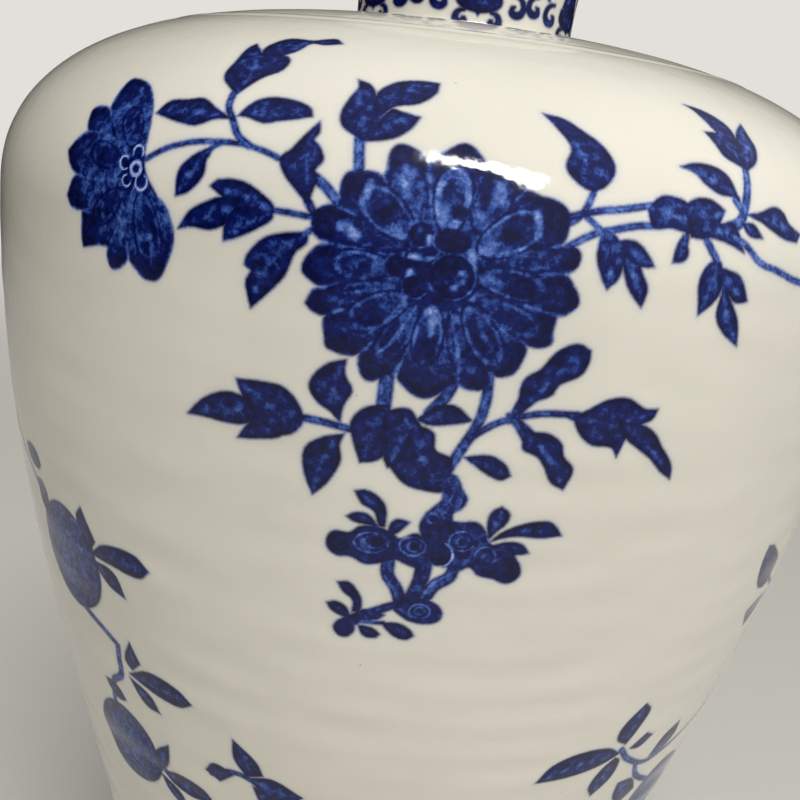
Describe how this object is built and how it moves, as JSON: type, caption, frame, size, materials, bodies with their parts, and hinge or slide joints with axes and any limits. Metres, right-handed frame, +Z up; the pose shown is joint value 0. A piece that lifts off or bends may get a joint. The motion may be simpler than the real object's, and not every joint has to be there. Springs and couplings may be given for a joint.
{
  "type": "meiping vase",
  "caption": "Tall porcelain vase with a high round shoulder, small waisted neck, rolled mouth rim and tapered body on a turned foot ring, built of luted thrown sections.",
  "frame": {"origin": "centre of the foot, on the surface that the vase stands on", "axes": "+Z up along the vase's axis, from the foot to the mouth; -Y is the side with the large flower"},
  "size_m": [0.21, 0.21, 0.3366],
  "materials": {
    "glazed_porcelain": "glossy, warm white glaze over blue painting",
    "foot_biscuit": "matt bare fired clay, lightly scorched",
    "luting_slip": "smeared slip under a thin inner glaze"
  },
  "bodies": {
    "root": {"foot_ring": "foot_biscuit", "base_disc": "glazed_porcelain", "base_coil": "luting_slip", "lower_body": "glazed_porcelain", "lower_slip": "luting_slip", "middle_body": "glazed_porcelain", "middle_slip": "luting_slip", "upper_body": "glazed_porcelain", "shoulder_slip": "luting_slip", "shoulder_dome": "glazed_porcelain", "neck": "glazed_porcelain", "mouth_rim": "glazed_porcelain"}
  },
  "joints": []
}
